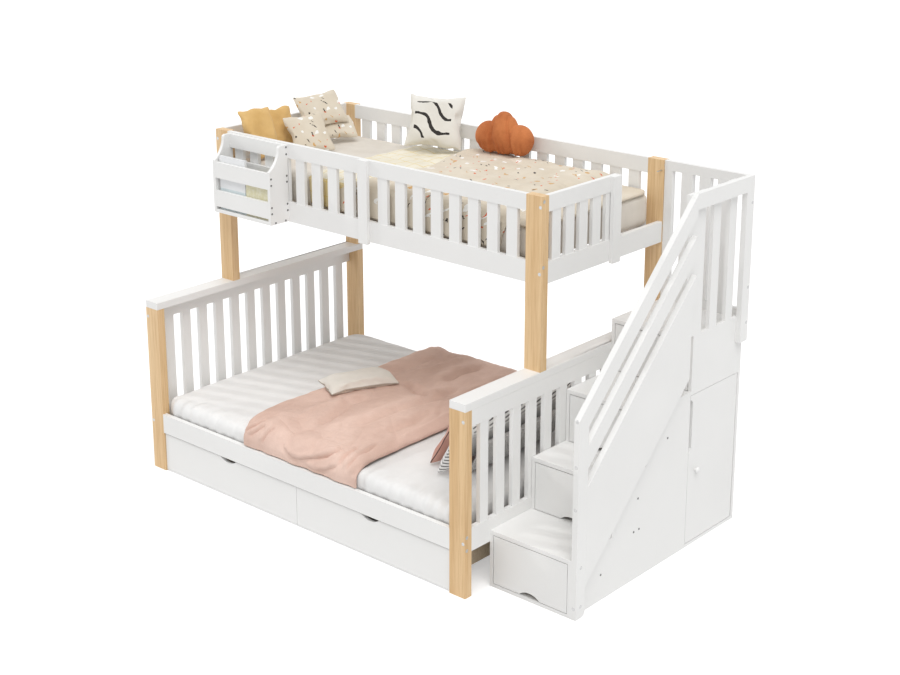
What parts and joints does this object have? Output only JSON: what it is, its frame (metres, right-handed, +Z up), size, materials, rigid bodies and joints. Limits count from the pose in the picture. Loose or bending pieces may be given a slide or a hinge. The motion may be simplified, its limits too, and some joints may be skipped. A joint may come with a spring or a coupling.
{
  "type": "bunk bed with storage stairs",
  "caption": "White and natural wood bunk bed with drawer stairs at one end, under-bed drawers, a small book shelf and bedding.",
  "frame": {"origin": "middle of the footprint, on the floor", "axes": "+X the long way, from the beds to the stairs; -Y the side with the under-bed drawers and the first stair; +Z up"},
  "size_m": [2.59, 1.458, 1.8438],
  "materials": {
    "natural_wood": "clear satin lacquer over pine, grain along the post",
    "white_wood": "smooth white satin paint on solid wood",
    "bare_wood": "sanded pine, no finish",
    "steel": "zinc plated, satin",
    "wheel_plastic": "dark, matt",
    "white_sheet": "white cotton sheet over foam",
    "beige_sheet": "beige cotton sheet over foam",
    "pink_velvet": "dusty pink short pile",
    "chip_print": "beige cotton with scattered small chips",
    "mustard_cotton": "mustard washed cotton",
    "cream_cotton": "cream cotton, dark line motif on one",
    "foot_cushion_fabric": "pink plush, rust plush, a black and white weave and a grey knit",
    "book_cover": "bare printed card, off-white and pale olive",
    "orange_velvet": "orange short pile"
  },
  "bodies": {
    "frame": {"lower_post_front_left": "natural_wood", "lower_post_front_right": "natural_wood", "lower_post_back_left": "natural_wood", "lower_post_back_right": "natural_wood", "headboard": "white_wood", "footboard": "white_wood", "end_caps": "white_wood", "side_rail_front": "white_wood", "side_rail_back": "white_wood", "slat_supports": "white_wood", "lower_bed_slats": "bare_wood", "upper_bed_slats": "bare_wood", "upper_post_front_left": "natural_wood", "upper_post_front_right": "natural_wood", "upper_post_back_left": "natural_wood", "upper_post_back_right": "natural_wood", "guard_front": "white_wood", "guard_back": "white_wood", "guard_left": "white_wood", "guard_right": "white_wood", "guard_battens": "white_wood", "book_shelf_sides": "white_wood", "book_shelf_boards": "white_wood", "stair_inner_panel": "white_wood", "stair_outer_panel": "white_wood", "stair_treads": "white_wood", "stair_boards": "white_wood", "drawer_runners": "bare_wood", "hinge_pins": "steel", "handrail_stile": "white_wood", "handrail_boards": "white_wood", "handrail_infill": "white_wood", "landing_side_guard": "white_wood", "landing_rear_guard": "white_wood", "bolts": "steel", "screws": "steel", "mattress_lower": "white_sheet", "mattress_upper": "beige_sheet", "blanket_lower": "pink_velvet", "duvet_upper": "chip_print", "pillows_plain": "mustard_cotton", "pillows_printed": "chip_print", "cushions_square": "cream_cotton", "cushions_foot": "foot_cushion_fabric", "cushion_lobed": "orange_velvet", "books": "book_cover"},
    "bed_drawer_left": {"bed_drawer_left": "white_wood", "left_drawer_forks": "steel"},
    "left_drawer_front_wheels": {"left_drawer_front_wheels": "wheel_plastic"},
    "left_drawer_rear_wheels": {"left_drawer_rear_wheels": "wheel_plastic"},
    "bed_drawer_right": {"bed_drawer_right": "white_wood", "right_drawer_forks": "steel"},
    "right_drawer_front_wheels": {"right_drawer_front_wheels": "wheel_plastic"},
    "right_drawer_rear_wheels": {"right_drawer_rear_wheels": "wheel_plastic"},
    "stair_drawer_1": {"stair_drawer_1": "white_wood"},
    "stair_drawer_2": {"stair_drawer_2": "white_wood"},
    "stair_drawer_3": {"stair_drawer_3": "white_wood"},
    "stair_drawer_4": {"stair_drawer_4": "white_wood"},
    "cabinet_door": {"cabinet_door": "white_wood", "door_knob": "white_wood"}
  },
  "joints": [
    {"name": "bed_drawer_left_slide", "type": "slide", "parent": "frame", "child": "bed_drawer_left", "axis": [0, -1, 0], "range_m": [0, 0.62]},
    {"name": "left_drawer_front_wheels_roll", "type": "hinge", "parent": "bed_drawer_left", "child": "left_drawer_front_wheels", "pos_m": [0, -0.619, 0.022], "axis": [1, 0, 0], "range_deg": [0, 1620]},
    {"name": "left_drawer_rear_wheels_roll", "type": "hinge", "parent": "bed_drawer_left", "child": "left_drawer_rear_wheels", "pos_m": [0, -0.139, 0.022], "axis": [1, 0, 0], "range_deg": [0, 1620]},
    {"name": "bed_drawer_right_slide", "type": "slide", "parent": "frame", "child": "bed_drawer_right", "axis": [0, -1, 0], "range_m": [0, 0.62]},
    {"name": "right_drawer_front_wheels_roll", "type": "hinge", "parent": "bed_drawer_right", "child": "right_drawer_front_wheels", "pos_m": [0, -0.619, 0.022], "axis": [1, 0, 0], "range_deg": [0, 1620]},
    {"name": "right_drawer_rear_wheels_roll", "type": "hinge", "parent": "bed_drawer_right", "child": "right_drawer_rear_wheels", "pos_m": [0, -0.139, 0.022], "axis": [1, 0, 0], "range_deg": [0, 1620]},
    {"name": "stair_drawer_1_slide", "type": "slide", "parent": "frame", "child": "stair_drawer_1", "axis": [0, -1, 0], "range_m": [0, 0.3]},
    {"name": "stair_drawer_2_slide", "type": "slide", "parent": "frame", "child": "stair_drawer_2", "axis": [0, -1, 0], "range_m": [0, 0.3]},
    {"name": "stair_drawer_3_slide", "type": "slide", "parent": "frame", "child": "stair_drawer_3", "axis": [0, -1, 0], "range_m": [0, 0.24]},
    {"name": "stair_drawer_4_slide", "type": "slide", "parent": "frame", "child": "stair_drawer_4", "axis": [0, -1, 0], "range_m": [0, 0.28]},
    {"name": "cabinet_door_swing", "type": "hinge", "parent": "frame", "child": "cabinet_door", "pos_m": [1.259, 0.689, 0.4], "axis": [0, 0, 1], "range_deg": [0, 95]}
  ],
  "couplings": [
    {"joint": "left_drawer_front_wheels_roll", "follows": "bed_drawer_left_slide", "rad_per_m": 45.455},
    {"joint": "left_drawer_rear_wheels_roll", "follows": "bed_drawer_left_slide", "rad_per_m": 45.455},
    {"joint": "right_drawer_front_wheels_roll", "follows": "bed_drawer_right_slide", "rad_per_m": 45.455},
    {"joint": "right_drawer_rear_wheels_roll", "follows": "bed_drawer_right_slide", "rad_per_m": 45.455}
  ]
}
